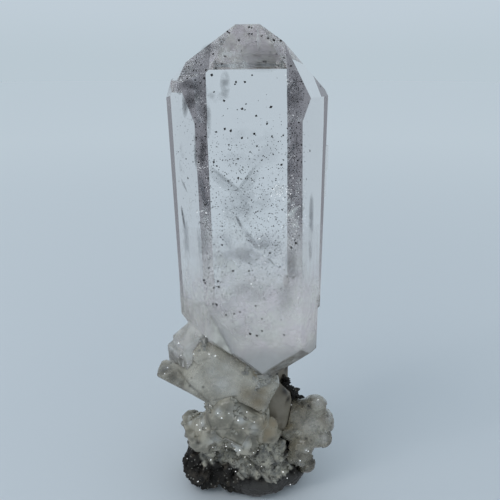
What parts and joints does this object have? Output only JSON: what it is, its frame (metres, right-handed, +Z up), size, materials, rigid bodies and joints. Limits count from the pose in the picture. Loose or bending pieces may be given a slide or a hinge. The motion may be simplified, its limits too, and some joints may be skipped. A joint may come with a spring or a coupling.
{
  "type": "smoky quartz scepter",
  "caption": "Tall clear, faintly smoky quartz scepter with dark specks, on a short stem among milky side crystals and rounded growths, rising from dark matrix cut flat to stand on.",
  "frame": {"origin": "on the cut base, below the middle of the scepter's head", "axes": "+Z up the long crystal, -Y out of its broad front face, +X to the right across that face"},
  "size_m": [0.0285, 0.0188, 0.0741],
  "materials": {
    "clear_quartz": "clear, bright crystal faces, faint grey tint, black specks inside",
    "milky_quartz": "milky grey, smooth and wet-looking",
    "drusy_quartz": "grey, covered with fine glinting crystals, yellowish at the right",
    "knobby_quartz": "pale milky grey, softly bumpy",
    "matrix_stone": "dark brown-black, porous and rough, with grey sparkling lumps"
  },
  "bodies": {
    "root": {"scepter_crystal": "clear_quartz", "blade_crystals": "milky_quartz", "shelf_crystals": "drusy_quartz", "knob_crystals": "knobby_quartz", "matrix_rock": "matrix_stone"}
  },
  "joints": []
}
